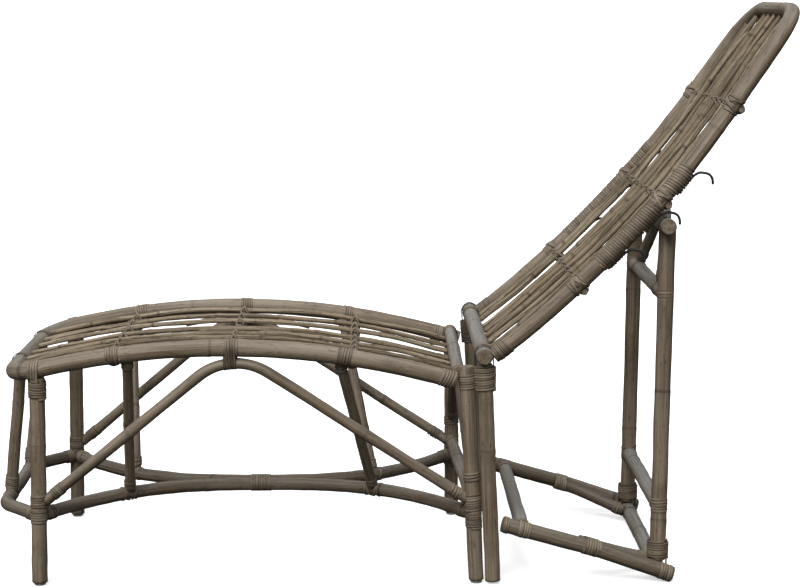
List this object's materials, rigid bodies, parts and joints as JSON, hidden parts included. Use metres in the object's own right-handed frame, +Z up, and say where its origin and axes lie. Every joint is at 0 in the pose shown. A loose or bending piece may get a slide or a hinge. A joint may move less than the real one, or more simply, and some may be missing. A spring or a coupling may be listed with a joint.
{
  "type": "rattan chaise longue",
  "caption": "Rattan lounger: a crowned cane bench on braced pole legs, and a curved cane backrest that folds over it, held up by a hinged prop and steel hooks.",
  "frame": {"origin": "middle of the plan bounding box, on the floor", "axes": "+X to the head end, +Y to the sitter's right, +Z up"},
  "size_m": [1.5204, 0.54, 1.0866],
  "materials": {
    "rattan": "weathered grey-brown rattan pole, satin, with growth nodes",
    "rattan_pale": "weathered rattan pole, bleached grey on its lit side",
    "cane": "thin rattan canes with dark peel lashings",
    "black_steel": "blackened steel rod",
    "steel_wire": "dull steel wire",
    "glide": "off-white plastic glide"
  },
  "bodies": {
    "bench": {"base_branch_left": "rattan", "base_branch_right": "rattan", "base_front_rail": "rattan_pale", "base_rail_left": "rattan", "base_rail_right": "rattan", "base_rear_bar": "rattan_pale", "front_stick_left": "rattan", "front_stick_right": "rattan", "front_stretcher": "rattan", "glide_front_left": "glide", "glide_front_right": "glide", "glide_rear_left": "glide", "glide_rear_right": "glide", "leg_front_left": "rattan", "leg_front_right": "rattan", "leg_rear_left": "rattan", "leg_rear_right": "rattan", "pivot_strap_left": "steel_wire", "pivot_strap_right": "steel_wire", "post_left": "rattan", "post_right": "rattan", "rear_arch": "rattan", "rear_stretcher": "rattan", "seat_cane_mat": "cane", "seat_crossbar_front": "rattan", "seat_crossbar_middle": "rattan", "seat_crossbar_rear": "rattan", "seat_frame": "rattan", "seat_rear_rail": "rattan", "side_arch_left": "rattan", "side_arch_right": "rattan", "side_stick_front_left": "rattan", "side_stick_front_right": "rattan", "side_stick_rear_left": "rattan", "side_stick_rear_right": "rattan", "side_stretcher_left": "rattan", "side_stretcher_right": "rattan"},
    "backrest": {"backrest_cane_mat": "cane", "backrest_crossbar_lower": "rattan", "backrest_crossbar_middle": "rattan", "backrest_crossbar_upper": "rattan", "backrest_frame": "rattan", "hook_lower_left": "black_steel", "hook_lower_right": "black_steel", "hook_middle_left": "black_steel", "hook_middle_right": "black_steel", "hook_upper_left": "black_steel", "hook_upper_right": "black_steel", "pivot_bar": "rattan"},
    "prop": {"prop_arch": "rattan", "prop_lower_rail": "rattan_pale", "prop_post_left": "rattan", "prop_post_right": "rattan", "prop_strap_left": "steel_wire", "prop_strap_right": "steel_wire", "prop_top_rail": "rattan", "prop_upper_rail": "rattan_pale"}
  },
  "joints": [
    {"name": "backrest_hinge", "type": "hinge", "parent": "bench", "child": "backrest", "pos_m": [0.1668, 0, 0.4403], "axis": [0, -1, 0], "range_deg": [0, 130]},
    {"name": "prop_hinge", "type": "hinge", "parent": "bench", "child": "prop", "pos_m": [0.5033, 0, 0.0185], "axis": [0, -1, 0], "range_deg": [0, 33]}
  ],
  "couplings": [
    {"joint": "prop_hinge", "follows": "backrest_hinge", "ratio": 0.25}
  ]
}
